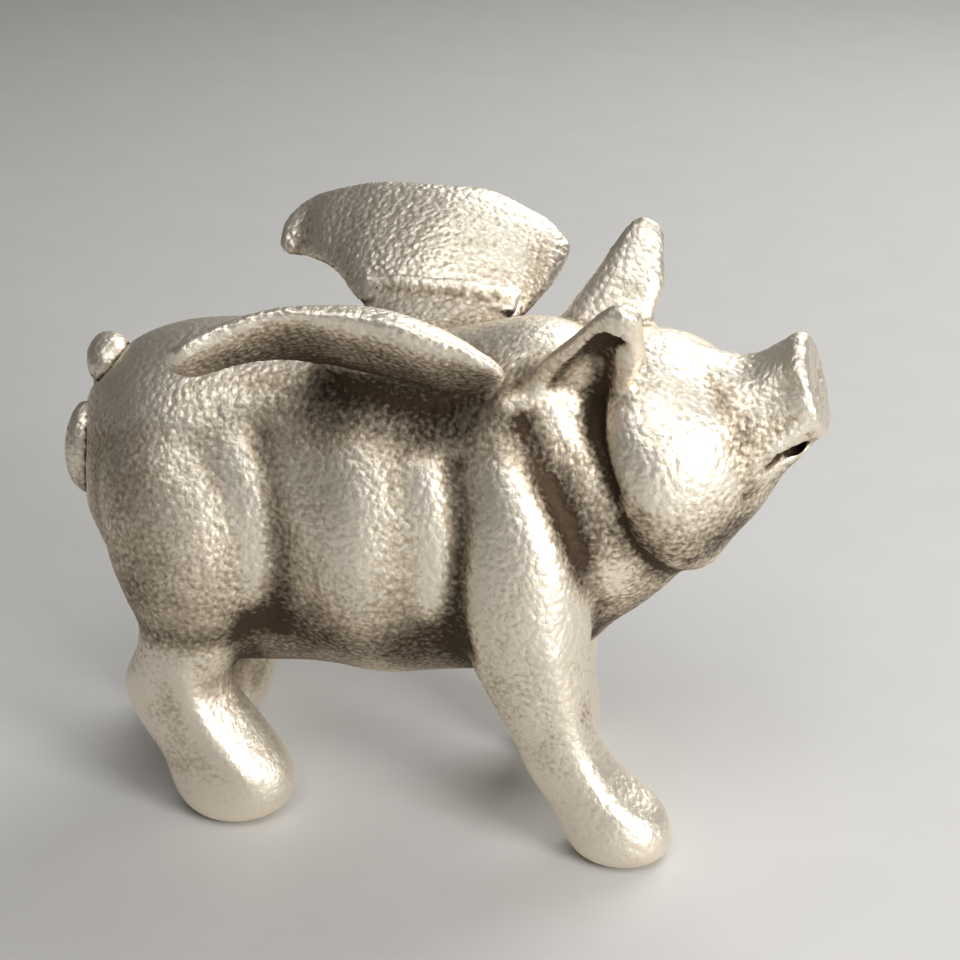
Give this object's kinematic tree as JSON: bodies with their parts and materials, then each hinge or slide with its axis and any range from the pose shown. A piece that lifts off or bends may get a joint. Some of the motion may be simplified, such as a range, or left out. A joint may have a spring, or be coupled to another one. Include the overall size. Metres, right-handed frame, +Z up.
{
  "type": "winged pig figurine",
  "caption": "Small cast-metal standing pig ornament with upright ears, a disc snout, short thick wings seated on its back and a curled tail.",
  "frame": {"origin": "on the ground under the middle of the whole figure", "axes": "+X towards the snout, +Y towards the pig's left, +Z up from the soles"},
  "size_m": [0.1048, 0.0612, 0.0827],
  "materials": {
    "cast_metal": "rough sand cast, antiqued pewter tone, rubbed bright on high spots",
    "fasteners": "plain turned steel"
  },
  "bodies": {
    "root": {"right_body_half": "cast_metal", "left_body_half": "cast_metal", "right_wing": "cast_metal", "left_wing": "cast_metal", "tail": "cast_metal", "clamp_screw": "fasteners", "right_wing_screw": "fasteners", "left_wing_screw": "fasteners", "right_wing_washer": "fasteners", "left_wing_washer": "fasteners", "head_pin": "fasteners", "rump_pin": "fasteners"}
  },
  "joints": []
}
